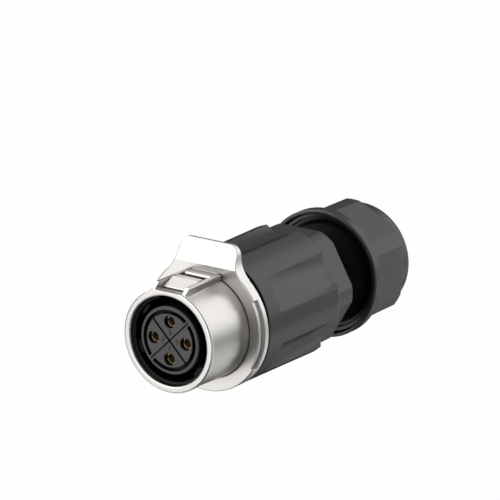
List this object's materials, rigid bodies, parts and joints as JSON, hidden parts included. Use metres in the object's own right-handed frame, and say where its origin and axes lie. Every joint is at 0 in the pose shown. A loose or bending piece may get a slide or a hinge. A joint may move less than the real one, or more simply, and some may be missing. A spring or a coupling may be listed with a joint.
{
  "type": "aviation plug connector",
  "caption": "Circular waterproof cable plug with socket contacts, a nickel barrel, a thumb-released latch ring, a fluted grip body and a screw-on cable gland.",
  "frame": {"origin": "centre of the gland nut's end face, on which the plug stands", "axes": "+Z along the plug towards its mating end, +Y towards the thumb tab, +X to the right seen from the mating end with the tab up"},
  "size_m": [0.0368, 0.0403, 0.0935],
  "materials": {
    "satin_nickel": "satin nickel plate on die-cast zinc",
    "grip_plastic": "fine matt moulded plastic",
    "inner_plastic": "black moulded plastic",
    "insert_plastic": "dark grey moulded plastic",
    "seal_rubber": "soft black rubber",
    "contact_gold": "gold-flashed brass",
    "plain_brass": "turned brass",
    "plain_steel": "plain steel"
  },
  "bodies": {
    "plug_body": {"front_shell": "satin_nickel", "grip_body": "grip_plastic", "clamp_cage": "inner_plastic", "gland_seal": "seal_rubber", "shell_seal": "seal_rubber", "interface_seal": "seal_rubber", "contact_insert": "insert_plastic", "rear_insulator": "inner_plastic", "keying_sleeve": "inner_plastic", "insert_retainer": "plain_brass", "terminal_screws": "plain_steel", "pivot_pin_left": "plain_steel", "pivot_pin_right": "plain_steel", "latch_spring_left": "plain_steel", "latch_spring_right": "plain_steel", "socket_contact_1": "contact_gold", "socket_contact_2": "contact_gold", "socket_contact_3": "contact_gold", "socket_contact_4": "contact_gold"},
    "release_lever": {"release_ring": "satin_nickel"},
    "washer_carrier": {"thrust_washer": "inner_plastic"},
    "nut": {"gland_nut": "grip_plastic"}
  },
  "joints": [
    {"name": "release_rock", "type": "hinge", "parent": "plug_body", "child": "release_lever", "pos_m": [0, 0, 0.0759], "axis": [-1, 0, 0], "range_deg": [0, 3], "stiffness_Nm_per_rad": 0.8, "springref_deg": -2.86, "deforming": ["latch_spring_left", "latch_spring_right"]},
    {"name": "washer_slide", "type": "slide", "parent": "plug_body", "child": "washer_carrier", "axis": [0, 0, 1], "range_m": [-0.003, 0.0045]},
    {"name": "nut_turn", "type": "hinge", "parent": "washer_carrier", "child": "nut", "pos_m": [0, 0, 0], "axis": [0, 0, 1], "range_deg": [-720, 1080]}
  ],
  "couplings": [
    {"joint": "nut_turn", "follows": "washer_slide", "rad_per_m": 4188.8}
  ]
}
